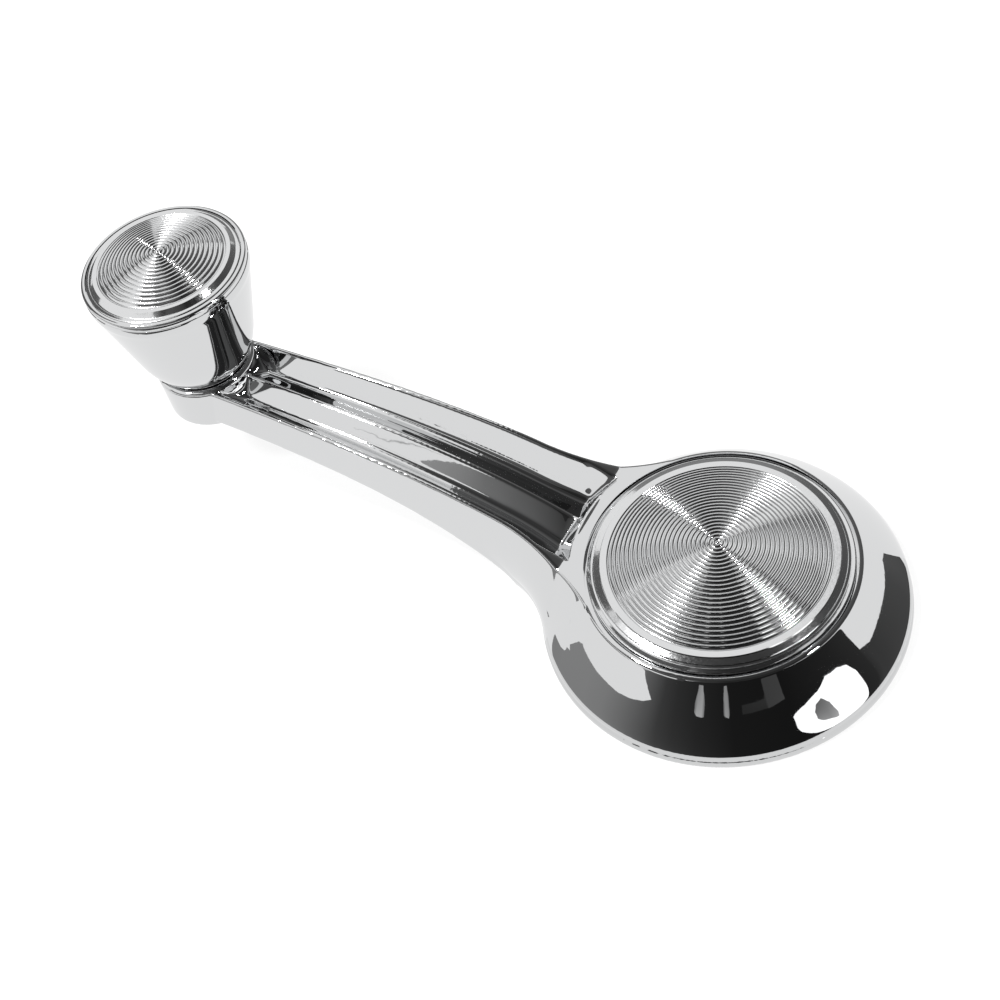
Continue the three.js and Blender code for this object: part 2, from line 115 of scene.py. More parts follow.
# Grooved discs
DISC_SHEET = 0.8
GROOVE_DEPTH = 0.26
POINTS_PER_GROOVE = 10
UNDERSIDE_STEPS = 12
HUB_GROOVE_RADIUS = 18.8
HUB_GROOVE_HEIGHT = 14.8
HUB_DOME_RISE = 3.8
HUB_GROOVE_COUNT = 25
HUB_DISC_RADIUS = 22.7
KNOB_GROOVE_RADIUS = 11.8
KNOB_DOME_RISE = 2.4
KNOB_GROOVE_COUNT = 15
KNOB_DISC_RADIUS = 14.1
DISC_STAND = 0.9

# Knob
KNOB_HEIGHT = 23.0
KNOB_LIP_RADIUS = 15.1
KNOB_LIP_HEIGHT = 3.2
KNOB_LIP_EDGE = 0.5
KNOB_LIP_CORNERS = 7
KNOB_BEAD_HEIGHT = 1.2
KNOB_BEAD_GROOVE = 0.16
KNOB_NECK_RADIUS = 14.9
KNOB_FOOT_RADIUS = 11.4
KNOB_FOOT_HEIGHT = 5.4
KNOB_FOOT_BULGE = 0.25
KNOB_FLOOR = 2.8
KNOB_BASE_RADIUS = 9.1
KNOB_SIDE_STEPS = 12
KNOB_WALL = 1.8
KNOB_TUBE_RADIUS = 5.6
KNOB_TUBE_TOP = 13.2
KNOB_BORE_PLAY = 0.08

# Spindle and washers
WASHER_THICKNESS = 0.6
WASHER_RADIUS = 8.4
WASHER_EDGE = 0.1
SPINDLE_RADIUS = 3.1
SPINDLE_HEAD_RADIUS = 5.2
SPINDLE_HEAD_THICKNESS = 1.8
SPINDLE_TAIL_RADIUS = 2.4
PEEN_RADIUS = 3.9
PEEN_THICKNESS = 1.3
PEEN_CORNERS = 9
PEEN_RECESS = 1.8
SPRING_SHEET = 0.4
SPRING_WAVE = 0.35
SPRING_RADIUS = 5.1
SPRING_WAVES = 3
SPRING_STEPS = 96

# Retaining clip
CLIP_STRIP = 1.6
CLIP_HEIGHT = 1.8
CLIP_LEG_OFFSET = 5.1
CLIP_LEG_REACH = 8.6
CLIP_BOW_RADIUS = 6.6
CLIP_BOW_STANDOFF = 1.4
CLIP_END_TURN = 1.9
CLIP_EDGE = 0.2
CLIP_BOW_STEPS = 40

# Rounded edges, and how fine the meshes are
FOOT_EDGE = 0.4
RIM_EDGE = 0.3
LAND_EDGE = 0.35
CREASE_EDGE = 0.3
VALLEY_HUB_EDGE = 1.7
VALLEY_TIP_EDGE = 0.6
EDGE_STEPS = 6
EDGE_SHARE = 0.45
VOXEL = 0.2
SMOOTHING = 6
NORMAL_ROUNDS = 3
RIM_TURN = 256
WALL_TURN = 192
BOSS_TURN = 128
BORE_TURN = 96
ON_AXIS = 1e-9

# Sizes that follow from the ones above
RECESS_RADIUS = HUB_DISC_RADIUS + SEAT_GAP / 2
RECESS_FLOOR = LAND_HEIGHT - DISC_SHEET - SEAT_GAP
PAD_TOP = SOCKET_DEPTH + SOCKET_ROOF
WEB_UNDERSIDE = RECESS_FLOOR - WEB_THICKNESS
TIP_X = KNOB_REACH - TIP_BOSS_RADIUS
TIP_BOSS_BASE = TIP_BOSS_TOP - TIP_BOSS_DEPTH
RIM_TIP_HEIGHT = TIP_BOSS_TOP - RIM_TIP_DROP
CREASE_TIP_HEIGHT = TIP_BOSS_TOP - CREASE_TIP_DROP
VALLEY_TIP_HEIGHT = TIP_BOSS_TOP - VALLEY_TIP_DROP
BASE_TIP_HEIGHT = TIP_BOSS_BASE + BASE_TIP_RISE
WASHER_BASE = TIP_BOSS_TOP + SEAT_GAP
KNOB_BASE = WASHER_BASE + WASHER_THICKNESS + SEAT_GAP
KNOB_TOP = KNOB_BASE + KNOB_HEIGHT
KNOB_GROOVE_HEIGHT = KNOB_TOP + DISC_STAND
CLIP_SLOT_HEIGHT = CLIP_HEIGHT + 2 * SEAT_GAP


# Meshes

def new_object(name, points, faces):
    """An object of its own mesh, linked into the scene."""
    mesh = bpy.data.meshes.new(name)
    mesh.from_pydata([tuple(p) for p in points], [], faces)
    mesh.update()
    obj = bpy.data.objects.new(name, mesh)
    bpy.context.scene.collection.objects.link(obj)
    return obj


def face_outward(obj):
    """Turns every face of a closed mesh outward."""
    bm = bmesh.new()
    bm.from_mesh(obj.data)
    bmesh.ops.recalc_face_normals(bm, faces=bm.faces)
    bm.to_mesh(obj.data)
    bm.free()


def revolve(name, profile, segments, centre=0.0):
    """A closed profile of (radius, height) corners turned about an upright axis."""
    points = []
    rings = []
    for r, z in profile:
        if abs(r) < ON_AXIS:
            rings.append([len(points)])
            points.append((centre, 0.0, z))
            continue
        rings.append(list(range(len(points), len(points) + segments)))
        for s in range(segments):
            a = 2 * math.pi * s / segments
            points.append((centre + r * math.cos(a), r * math.sin(a), z))
    faces = []
    for i, ring in enumerate(rings):
        other = rings[(i + 1) % len(rings)]
        for s in range(segments):
            t = (s + 1) % segments
            if len(ring) == 1 and len(other) == 1:
                break
            if len(ring) == 1:
                faces.append((ring[0], other[t], other[s]))
            elif len(other) == 1:
                faces.append((ring[s], ring[t], other[0]))
            else:
                faces.append((ring[s], ring[t], other[t], other[s]))
    obj = new_object(name, points, faces)
    face_outward(obj)
    return obj


def loft(name, sections):
    """A skin over sections with the same number of corners, closed by a flat face at each end."""
    count = len(sections[0])
    points = [p for section in sections for p in section]
    faces = []
    for s in range(len(sections) - 1):
        for i in range(count):
            j = (i + 1) % count
            faces.append((s * count + i, s * count + j, (s + 1) * count + j, (s + 1) * count + i))
    faces.append(tuple(range(count)))
    faces.append(tuple(reversed(range(len(points) - count, len(points)))))
    obj = new_object(name, points, faces)
    face_outward(obj)
    return obj


def block(name, low, high):
    """A box between two opposite corners."""
    (x0, y0, z0), (x1, y1, z1) = low, high
    points = [(x, y, z) for x in (x0, x1) for y in (y0, y1) for z in (z0, z1)]
    faces = [(0, 1, 3, 2), (4, 6, 7, 5), (0, 4, 5, 1), (2, 3, 7, 6), (0, 2, 6, 4), (1, 5, 7, 3)]
    obj = new_object(name, points, faces)
    face_outward(obj)
    return obj


def apply_modifiers(obj):
    """Makes the result of an object's modifiers its own mesh."""
    depsgraph = bpy.context.evaluated_depsgraph_get()
    mesh = bpy.data.meshes.new_from_object(obj.evaluated_get(depsgraph))
    old = obj.data
    obj.modifiers.clear()
    obj.data = mesh
    bpy.data.meshes.remove(old)


def combine(obj, operation, *others):
    """Joins others to an object or cuts them from it, and removes them."""
    for other in others:
        modifier = obj.modifiers.new("combine", "BOOLEAN")
        modifier.operation = operation
        modifier.solver = "MANIFOLD"
        modifier.object = other
        apply_modifiers(obj)
        bpy.data.objects.remove(other)
    return obj


def join(obj, *others):
    return combine(obj, "UNION", *others)


def cut(obj, *others):
    return combine(obj, "DIFFERENCE", *others)


# Curves of the arm

def mix(a, b, share):
    return a + (b - a) * share


def bend(before, corner, after, radius):
    """Points that round one corner, the same number for every corner."""
    corner = np.array(corner, dtype=float)
    first, second = np.array(before) - corner, np.array(after) - corner
    reach_a, reach_b = np.linalg.norm(first), np.linalg.norm(second)
    first, second = first / reach_a, second / reach_b
    half = math.acos(float(np.clip(first @ second, -1, 1))) / 2
    cut_back = min(radius / math.tan(half), EDGE_SHARE * reach_a, EDGE_SHARE * reach_b)
    start, end = corner + first * cut_back, corner + second * cut_back
    points = []
    for i in range(EDGE_STEPS + 1):
        share = i / EDGE_STEPS
        points.append(tuple(mix(mix(start, corner, share), mix(corner, end, share), share)))
    return points


def rounded(points, radii):
    """A run of corners, of which those named in radii by their place are rounded."""
    out = [points[0]]
    for k in range(1, len(points) - 1):
        if k in radii:
            out += bend(points[k - 1], points[k], points[k + 1], radii[k])
        else:
            out.append(points[k])
    out.append(points[-1])
    return out


def rise(x, start, end, haste):
    """How far a line along the arm has risen at x: fast at first and slower towards its end."""
    run = min(max((x - start) / (end - start), 0.0), 1.0)
    return (1 - math.exp(-haste * run)) / (1 - math.exp(-haste))


def rim_height(x):
    return mix(LAND_HEIGHT, RIM_TIP_HEIGHT, rise(x, RIM_RISE_START, TIP_X, RIM_BEND))


def base_height(x):
    return mix(0.0, BASE_TIP_HEIGHT, rise(x, BASE_RISE_START, TIP_X, BASE_BEND))


def crease_height(x):
    return mix(CREASE_HUB_HEIGHT, CREASE_TIP_HEIGHT, rise(x, TROUGH_START, TIP_X, CREASE_BEND))


def valley_height(x):
    return mix(VALLEY_HUB_HEIGHT, VALLEY_TIP_HEIGHT, rise(x, TROUGH_START, TIP_X, VALLEY_BEND))


def side_line(x, share):
    """Half the arm's width along its straight part, at a share of its height."""
    run = (x - BASE_RISE_START) / (TIP_X - BASE_RISE_START)
    base = mix(BASE_HUB_HALF_WIDTH, BASE_TIP_HALF_WIDTH, run)
    rim = mix(RIM_HUB_HALF_WIDTH, RIM_TIP_HALF_WIDTH, run)
    return mix(base, rim, share)


FLANK_FOOT = (HUB_RIM_RADIUS - HUB_SHOULDER_INSET, HUB_RIM_HEIGHT + HUB_SHOULDER_RISE)


def flank_point(share):
    """A point of the hub's flank, which bulges most near its foot."""
    across = LAND_RADIUS - FLANK_FOOT[0]
    up = LAND_HEIGHT - FLANK_FOOT[1]
    lean = math.log(0.5) / math.log(FLANK_PEAK_SHARE)
    bulge = FLANK_BULGE * math.sin(math.pi * share ** lean) / math.hypot(across, up)
    return (FLANK_FOOT[0] + across * share + up * bulge, FLANK_FOOT[1] + up * share - across * bulge)


FLANK = [(HUB_RIM_RADIUS, 0.0), (HUB_RIM_RADIUS, HUB_RIM_HEIGHT)]
FLANK += [flank_point(i / FLANK_STEPS) for i in range(FLANK_STEPS + 1)]


def half_width(x, level):
    """Half the arm's width at one of the flank's levels, flared where it runs into the hub."""
    radius, height = FLANK[level]
    share = height / LAND_HEIGHT
    flare = mix(BASE_FLARE_RADIUS, RIM_FLARE_RADIUS, share)
    line_here = side_line(radius, share)
    arc_x = math.sqrt((radius + flare) ** 2 - (line_here + flare) ** 2)
    touch_x = arc_x * radius / (radius + flare)
    if x >= arc_x:
        return side_line(x, share) + line_here - side_line(arc_x, share)
    if x >= touch_x:
        return line_here + flare - math.sqrt(flare ** 2 - (arc_x - x) ** 2)
    return math.sqrt(max((radius - BLEND_INSET) ** 2 - x ** 2, 1.0))


def stations(start, end):
    return [mix(start, end, i / ARM_STATIONS) for i in range(ARM_STATIONS + 1)]


def mirrored(half, x):
    """A closed section at x from its half, whose corners at y = 0 are taken once."""
    right = [(x, y, z) for y, z in half]
    left = [(x, -y, z) for y, z in half if y > 0]
    return right + left[::-1]


def arm_body():
    """The arm's outside, lofted from the hub to the knob's axis."""
    sections = []
    for x in stations(ARM_ROOT, KNOB_REACH):
        foot, top = base_height(x), rim_height(x)
        side = [(half_width(x, k), mix(foot, top, FLANK[k][1] / LAND_HEIGHT)) for k in range(len(FLANK))]
        half = [(0.0, foot), *side, (0.0, top)]
        sections.append(mirrored(rounded(half, {1: FOOT_EDGE, len(half) - 2: RIM_EDGE}), x))
    return loft("arm_body", sections)


def trough_space():
    """What the trough takes from the arm: two valleys beside a crest, ended by walls round both axes."""
    top_level = len(FLANK) - 1
    sections = []
    for x in stations(LAND_RADIUS, KNOB_REACH):
        width = half_width(x, top_level)
        lip = min(width - RIM_LAND_WIDTH, TROUGH_MOUTH_HALF_WIDTH)
        top = rim_height(x)
        valley = (width * VALLEY_WIDTH_SHARE, valley_height(x))
        crest = (0.0, crease_height(x))
        ridge = bend((-valley[0], valley[1]), crest, valley, CREASE_EDGE)[EDGE_STEPS // 2:]
        half = [
            ridge[-1],
            valley,
            (lip, top),
            (lip + RIM_EDGE, top),
            (lip + RIM_EDGE, top + OVERRUN),
        ]
        run = min((x - LAND_RADIUS) / (TIP_X - LAND_RADIUS), 1)
        valley_edge = mix(VALLEY_HUB_EDGE, VALLEY_TIP_EDGE, run)
        half = [(0.0, ridge[0][1]), *ridge[1:-1], *rounded(half, {1: valley_edge, 2: RIM_EDGE})]
        sections.append(mirrored(half, x))
    space = loft("trough_space", sections)
    wall_run = (END_WALL_FOOT_RADIUS - END_WALL_TOP_RADIUS) / (LAND_HEIGHT - END_WALL_FOOT_HEIGHT)
    headroom = RIM_TIP_HEIGHT + OVERRUN - LAND_HEIGHT
    end_wall = revolve("end_wall", [
        (0.0, 0.0),
        (END_WALL_FOOT_RADIUS, 0.0),
        (END_WALL_FOOT_RADIUS, END_WALL_FOOT_HEIGHT),
        (END_WALL_TOP_RADIUS, LAND_HEIGHT),
        (END_WALL_TOP_RADIUS - headroom * wall_run, LAND_HEIGHT + headroom),
        (0.0, LAND_HEIGHT + headroom),
    ], WALL_TURN)
    skirt_top = RIM_TIP_HEIGHT - TIP_BOSS_EDGE
    fillet = []
    for angle in np.linspace(math.pi / 2, 0, TIP_SKIRT_CORNERS):
        fillet.append((
            TIP_BOSS_RADIUS + TIP_SKIRT_REACH * (1 - math.cos(angle)),
            skirt_top - TIP_SKIRT_DROP * math.sin(angle),
        ))
    skirt = revolve("skirt", [
        (0.0, 0.0),
        (TIP_BOSS_RADIUS + TIP_SKIRT_REACH, 0.0),
        *fillet,
        (TIP_BOSS_RADIUS, TIP_BOSS_TOP + OVERRUN),
        (0.0, TIP_BOSS_TOP + OVERRUN),
    ], BOSS_TURN, KNOB_REACH)
    return cut(space, end_wall, skirt)


def hub_body():
    """The hub's solid disc with its curved flank, rounded at the rim and round the land on top."""
    corners = [(0.0, 0.0), *FLANK, (0.0, LAND_HEIGHT)]
    profile = rounded(corners, {1: RIM_EDGE, 2: RIM_EDGE, len(FLANK): LAND_EDGE})
    return revolve("hub_body", profile, RIM_TURN)


def arm_pocket():
    """The hollow under the arm, which follows the trough at an even wall."""
    top_level = len(FLANK) - 1
    sections = []
    for x in stations(LAND_RADIUS, TIP_X - ARM_WALL):
        valley = valley_height(x)
        shoulder = mix(valley, rim_height(x), POCKET_SHOULDER_SHARE)
        rim = half_width(x, top_level)
        sections.append(mirrored([
            (half_width(x, 0) - ARM_WALL, base_height(x) - OVERRUN),
            (rim - ARM_WALL, shoulder - ARM_ROOF),
            (rim * VALLEY_WIDTH_SHARE, valley - ARM_ROOF),
            (0.0, crease_height(x) - ARM_ROOF),
        ], x))
    return cut(loft("arm_pocket", sections), hub_body())


def hub_cup():
    """The hollow under the hub, round the socket's boss."""
    middle = flank_point(0.5)
    return revolve("hub_cup", [
        (SOCKET_BOSS_RADIUS, -OVERRUN),
        (HUB_RIM_RADIUS - HUB_WALL, -OVERRUN),
        (HUB_RIM_RADIUS - HUB_WALL, HUB_RIM_HEIGHT),
        (middle[0] - HUB_WALL, middle[1] - HUB_WALL / 2),
        (LAND_RADIUS - HUB_WALL / 2, WEB_UNDERSIDE),
        (SOCKET_BOSS_RADIUS, WEB_UNDERSIDE),
    ], WALL_TURN)


def hub_rib(i):
    """One of the ribs between the hub's flank and its socket boss."""
    rib = block(
        "hub_rib",
        (SOCKET_ROOT_RADIUS + SOCKET_LEAD_IN, -RIB_THICKNESS / 2, WEB_UNDERSIDE - RIB_DROP),
        (LAND_RADIUS, RIB_THICKNESS / 2, RECESS_FLOOR),
    )
    rib.data.transform(Matrix.Rotation((i + 0.5) * 2 * math.pi / RIB_COUNT, 4, "Z"))
    return rib


def disc_seat():
    """The recess in which the hub's disc lies."""
    top = PAD_TOP + OVERRUN
    return revolve("disc_seat", [
        (SOCKET_BOSS_RADIUS, RECESS_FLOOR),
        (RECESS_RADIUS, RECESS_FLOOR),
        (RECESS_RADIUS, top),
        (0.0, top),
        (0.0, PAD_TOP),
        (SOCKET_BOSS_RADIUS, PAD_TOP),
    ], RIM_TURN)


def socket_space():
    """The splined socket with its sloped lead-in."""
    outline = []
    steps = SOCKET_TOOTH_COUNT * 2
    for i in range(steps):
        radius = SOCKET_ROOT_RADIUS - (i % 2) * SOCKET_TOOTH_HEIGHT
        a = 2 * math.pi * i / steps
        outline.append((radius * math.cos(a), radius * math.sin(a)))
    space = loft("socket_space", [[(x, y, z) for x, y in outline] for z in (-OVERRUN, SOCKET_DEPTH)])
    lead_in = revolve("lead_in", [
        (0.0, -SOCKET_LEAD_IN),
        (SOCKET_ROOT_RADIUS + SOCKET_LEAD_IN, -SOCKET_LEAD_IN),
        (SOCKET_ROOT_RADIUS + SOCKET_LEAD_IN, 0.0),
        (SOCKET_ROOT_RADIUS - SOCKET_TOOTH_HEIGHT, SOCKET_LEAD_IN + SOCKET_TOOTH_HEIGHT),
        (0.0, SOCKET_LEAD_IN + SOCKET_TOOTH_HEIGHT),
    ], BORE_TURN)
    return join(space, lead_in)


def clip_slot(side):
    """A slot across the socket's boss, open to that side, for one leg of the clip."""
    inner = CLIP_LEG_OFFSET - CLIP_STRIP / 2 - SEAT_GAP
    reach = SOCKET_BOSS_RADIUS + OVERRUN
    low, high = sorted((side * inner, side * reach))
    return block("clip_slot", (-reach, low, SLOT_FLOOR), (reach, high, SLOT_FLOOR + CLIP_SLOT_HEIGHT))


def tip_boss():
    """The round boss at the arm's end, bevelled at both ends."""
    return revolve("tip_boss", [
        (0.0, TIP_BOSS_BASE),
        (TIP_BOSS_RADIUS - TIP_BOSS_EDGE, TIP_BOSS_BASE),
        (TIP_BOSS_RADIUS, TIP_BOSS_BASE + TIP_BOSS_EDGE),
        (TIP_BOSS_RADIUS, TIP_BOSS_TOP - TIP_BOSS_EDGE),
        (TIP_BOSS_RADIUS - TIP_BOSS_EDGE, TIP_BOSS_TOP),
        (0.0, TIP_BOSS_TOP),
    ], BOSS_TURN, KNOB_REACH)


def spindle_hole():
    """The hole through the boss, widened below for the peened end."""
    return revolve("spindle_hole", [
        (0.0, TIP_BOSS_BASE - OVERRUN),
        (PEEN_RADIUS + SEAT_GAP, TIP_BOSS_BASE - OVERRUN),
        (PEEN_RADIUS + SEAT_GAP, TIP_BOSS_BASE + PEEN_RECESS),
        (SPINDLE_TAIL_RADIUS + SEAT_GAP, TIP_BOSS_BASE + PEEN_RECESS),
        (SPINDLE_TAIL_RADIUS + SEAT_GAP, TIP_BOSS_TOP + OVERRUN),
        (0.0, TIP_BOSS_TOP + OVERRUN),
    ], BORE_TURN, KNOB_REACH)


def soften(obj):
    """Rounds every edge as casting and polishing do, by remeshing and smoothing."""
    remesh = obj.modifiers.new("remesh", "REMESH")
    remesh.mode = "VOXEL"
    remesh.voxel_size = VOXEL
    smooth = obj.modifiers.new("smooth", "SMOOTH")
    smooth.factor = 0.5
    smooth.iterations = SMOOTHING
    apply_modifiers(obj)


def casting():
    """Hub, arm and boss in one piece, with hollows, ribs, disc seat, socket, slots and spindle hole."""
    arm = cut(arm_body(), trough_space(), arm_pocket())
    body = cut(join(hub_body(), arm), hub_cup())
    body = join(body, *[hub_rib(i) for i in range(RIB_COUNT)], tip_boss())
    soften(body)
    pad = revolve("pad", [
        (0.0, RECESS_FLOOR - WEB_THICKNESS / 2),
        (SOCKET_BOSS_RADIUS, RECESS_FLOOR - WEB_THICKNESS / 2),
        (SOCKET_BOSS_RADIUS, PAD_TOP),
        (0.0, PAD_TOP),
    ], BORE_TURN)
    body = join(body, pad)
    return cut(body, disc_seat(), socket_space(), clip_slot(1), clip_slot(-1), spindle_hole())


# Corners of the discs' brims, as the distance out from the grooves and the drop below them
HUB_BRIM = [
    (0.06, 0.0), (1.1, 0.0), (1.16, 0.1), (1.22, 0.22), (2.2, 0.62), (2.27, 0.86), (2.32, 0.9),
    (2.72, 0.93), (2.8, 1.02), (3.3, 1.24), (3.38, 1.36), (3.52, 1.4), (3.6, 1.75),
]
KNOB_BRIM = [
    (0.06, 0.0), (0.75, 0.0), (0.84, 0.08), (1.4, 0.76), (1.5, 0.84), (1.7, 0.86), (2.15, 0.88), (2.3, 1.0),
]


def groove_disc(centre, groove_radius, groove_height, dome_rise, count, brim, edge_height, segments):
    """A spun disc: a dome cut into scalloped rings, and round it the brim's corners down to its edge."""
    def dome(r):
        return groove_height + dome_rise * (1 - (r / groove_radius) ** 2)

    top = []
    total = count * POINTS_PER_GROOVE
    for i in range(total + 1):
        r = groove_radius * i / total
        part = i % POINTS_PER_GROOVE / POINTS_PER_GROOVE
        top.append((r, dome(r) - GROOVE_DEPTH * 4 * part * (1 - part)))
    top += [(groove_radius + run, groove_height - drop) for run, drop in brim]
    edge_radius = top[-1][0]
    under = [(edge_radius, edge_height - DISC_SHEET)]
    for i in range(UNDERSIDE_STEPS, -1, -1):
        r = groove_radius * i / UNDERSIDE_STEPS
        under.append((r, dome(r) - DISC_SHEET))
    return revolve("disc", top + under, segments, centre)


def hub_disc():
    return groove_disc(
        0.0, HUB_GROOVE_RADIUS, HUB_GROOVE_HEIGHT, HUB_DOME_RISE, HUB_GROOVE_COUNT, HUB_BRIM, LAND_HEIGHT,
        RIM_TURN)


def knob_disc():
    return groove_disc(
        KNOB_REACH, KNOB_GROOVE_RADIUS, KNOB_GROOVE_HEIGHT, KNOB_DOME_RISE, KNOB_GROOVE_COUNT, KNOB_BRIM,
        KNOB_TOP, WALL_TURN)


def knob_outside(foot_top, lip_foot):
    """The knob's profile from its base up a bulged foot and a straight side to its lip."""
    outside = []
    for i in range(KNOB_SIDE_STEPS + 1):
        share = i / KNOB_SIDE_STEPS
        r = mix(KNOB_BASE_RADIUS, KNOB_FOOT_RADIUS, share) + KNOB_FOOT_BULGE * math.sin(math.pi * share)
        outside.append((r, mix(KNOB_BASE, foot_top, share)))
    for i in range(1, KNOB_SIDE_STEPS + 1):
        share = i / KNOB_SIDE_STEPS
        r = mix(KNOB_FOOT_RADIUS, KNOB_NECK_RADIUS, share)
        outside.append((r, mix(foot_top, lip_foot, share)))
    groove_top = KNOB_TOP - KNOB_BEAD_HEIGHT
    outside += [
        (KNOB_LIP_RADIUS, lip_foot + KNOB_LIP_EDGE),
        (KNOB_LIP_RADIUS, groove_top - KNOB_BEAD_GROOVE),
        (KNOB_LIP_RADIUS - KNOB_BEAD_GROOVE, groove_top - KNOB_BEAD_GROOVE / 2),
        (KNOB_LIP_RADIUS - KNOB_BEAD_GROOVE / 2, groove_top),
    ]
    for angle in np.linspace(0, math.pi / 2, KNOB_LIP_CORNERS):
        r = KNOB_LIP_RADIUS - KNOB_LIP_EDGE * (1 - math.cos(angle))
        outside.append((r, KNOB_TOP - KNOB_LIP_EDGE * (1 - math.sin(angle))))
    return outside


def knob_shell():
    """The hollow knob, with a tube for its spindle and a seat for its disc."""
    bore = SPINDLE_RADIUS + KNOB_BORE_PLAY
    lip_foot = KNOB_TOP - KNOB_LIP_HEIGHT
    foot_top = KNOB_BASE + KNOB_FOOT_HEIGHT
    floor_radius = mix(KNOB_BASE_RADIUS, KNOB_FOOT_RADIUS, KNOB_FLOOR / KNOB_FOOT_HEIGHT) - KNOB_WALL
    seat = KNOB_TOP - DISC_SHEET - SEAT_GAP
    disc_hole = KNOB_DISC_RADIUS + SEAT_GAP / 2
    outside = [*knob_outside(foot_top, lip_foot), (disc_hole, KNOB_TOP)]
    inside = [
        (disc_hole, seat),
        (KNOB_NECK_RADIUS - KNOB_WALL, seat),
        (KNOB_NECK_RADIUS - KNOB_WALL, lip_foot),
        (KNOB_FOOT_RADIUS - KNOB_WALL, foot_top),
        (floor_radius, KNOB_BASE + KNOB_FLOOR),
        (KNOB_TUBE_RADIUS, KNOB_BASE + KNOB_FLOOR),
        (KNOB_TUBE_RADIUS, KNOB_BASE + KNOB_TUBE_TOP),
        (bore, KNOB_BASE + KNOB_TUBE_TOP),
    ]
    return revolve("winder_knob_shell", [(bore, KNOB_BASE), *outside, *inside], WALL_TURN, KNOB_REACH)


def knob_spindle():
    """The stepped pin that carries the knob, headed at the top and peened under the boss."""
    shoulder = TIP_BOSS_TOP + SEAT_GAP
    head = KNOB_BASE + KNOB_TUBE_TOP + SPRING_SHEET + 2 * SPRING_WAVE + 2 * SEAT_GAP
    peen_top = TIP_BOSS_BASE + PEEN_RECESS - SEAT_GAP
    angles = np.linspace(0, math.pi / 2, PEEN_CORNERS)
    dome = [(PEEN_RADIUS * math.sin(a), peen_top - PEEN_THICKNESS * math.cos(a)) for a in angles]
    return revolve("winder_knob_spindle", [
        (0.0, dome[0][1]),
        *dome[1:],
        (SPINDLE_TAIL_RADIUS, peen_top),
        (SPINDLE_TAIL_RADIUS, shoulder),
        (SPINDLE_RADIUS, shoulder),
        (SPINDLE_RADIUS, head),
        (SPINDLE_HEAD_RADIUS, head),
        (SPINDLE_HEAD_RADIUS, head + SPINDLE_HEAD_THICKNESS / 2),
        (SPINDLE_HEAD_RADIUS - SPINDLE_HEAD_THICKNESS / 2, head + SPINDLE_HEAD_THICKNESS),
        (0.0, head + SPINDLE_HEAD_THICKNESS),
    ], BORE_TURN, KNOB_REACH)


def thrust_washer():
    """The flat washer between knob and boss."""
    inner = SPINDLE_RADIUS + SEAT_GAP
    top = WASHER_BASE + WASHER_THICKNESS
    return revolve("winder_thrust_washer", [
        (inner, WASHER_BASE),
        (WASHER_RADIUS - WASHER_EDGE, WASHER_BASE),
        (WASHER_RADIUS, WASHER_BASE + WASHER_EDGE),
        (WASHER_RADIUS, top - WASHER_EDGE),
        (WASHER_RADIUS - WASHER_EDGE, top),
        (inner, top),
    ], BOSS_TURN, KNOB_REACH)


def spring_washer():
    """A ring of thin sheet that waves up and down round the spindle."""
    inner = SPINDLE_RADIUS + SEAT_GAP
    middle = KNOB_BASE + KNOB_TUBE_TOP + SEAT_GAP + SPRING_WAVE
    points = []
    for i in range(SPRING_STEPS):
        a = 2 * math.pi * i / SPRING_STEPS
        low = middle + SPRING_WAVE * math.cos(SPRING_WAVES * a)
        top = low + SPRING_SHEET
        for r, z in ((inner, low), (SPRING_RADIUS, low), (SPRING_RADIUS, top), (inner, top)):
            points.append((KNOB_REACH + r * math.cos(a), r * math.sin(a), z))
    faces = []
    for i in range(SPRING_STEPS):
        for k in range(4):
            n = (k + 1) % 4
            j = (i + 1) % SPRING_STEPS
            faces.append((i * 4 + k, i * 4 + n, j * 4 + n, j * 4 + k))
    obj = new_object("winder_spring_washer", points, faces)
    face_outward(obj)
    return obj


def retaining_clip():
    """A strip bent to a horseshoe, with legs that bow in to the socket's slots and ends turned out."""
    bow_centre = SOCKET_BOSS_RADIUS + CLIP_BOW_STANDOFF - CLIP_BOW_RADIUS + CLIP_STRIP / 2
    opening = math.asin(CLIP_LEG_OFFSET / CLIP_BOW_RADIUS)
    line = [
        (-CLIP_LEG_REACH - CLIP_END_TURN, CLIP_LEG_OFFSET + CLIP_END_TURN),
        (-CLIP_LEG_REACH - CLIP_END_TURN / 2, CLIP_LEG_OFFSET + CLIP_END_TURN / 3),
        (-CLIP_LEG_REACH, CLIP_LEG_OFFSET),
    ]
    for i in range(CLIP_BOW_STEPS + 1):
        a = mix(math.pi - opening, -(math.pi - opening), i / CLIP_BOW_STEPS)
        line.append((bow_centre + CLIP_BOW_RADIUS * math.cos(a), CLIP_BOW_RADIUS * math.sin(a)))
    line += [(x, -y) for x, y in line[2::-1]]
    low = SLOT_FLOOR + SEAT_GAP
    half = CLIP_STRIP / 2
    profile = [(-half, CLIP_EDGE), (-half + CLIP_EDGE, 0), (half - CLIP_EDGE, 0), (half, CLIP_EDGE)]
    profile += [(o, CLIP_HEIGHT - z) for o, z in profile[::-1]]
    sections = []
    for i, (x, y) in enumerate(line):
        ax, ay = line[max(i - 1, 0)]
        bx, by = line[min(i + 1, len(line) - 1)]
        length = math.hypot(bx - ax, by - ay)
        nx, ny = -(by - ay) / length, (bx - ax) / length
        sections.append([(x + nx * o, y + ny * o, low + z) for o, z in profile])
    return loft("winder_retaining_clip", sections)


# Materials

MARK_LOW = 0.35
MARK_HIGH = 0.75
MARK_DETAIL = 6.0
WAVE_SHARE = 0.35
WAVE_DETAIL = 2.0
WAVE_DEPTH = 0.0002


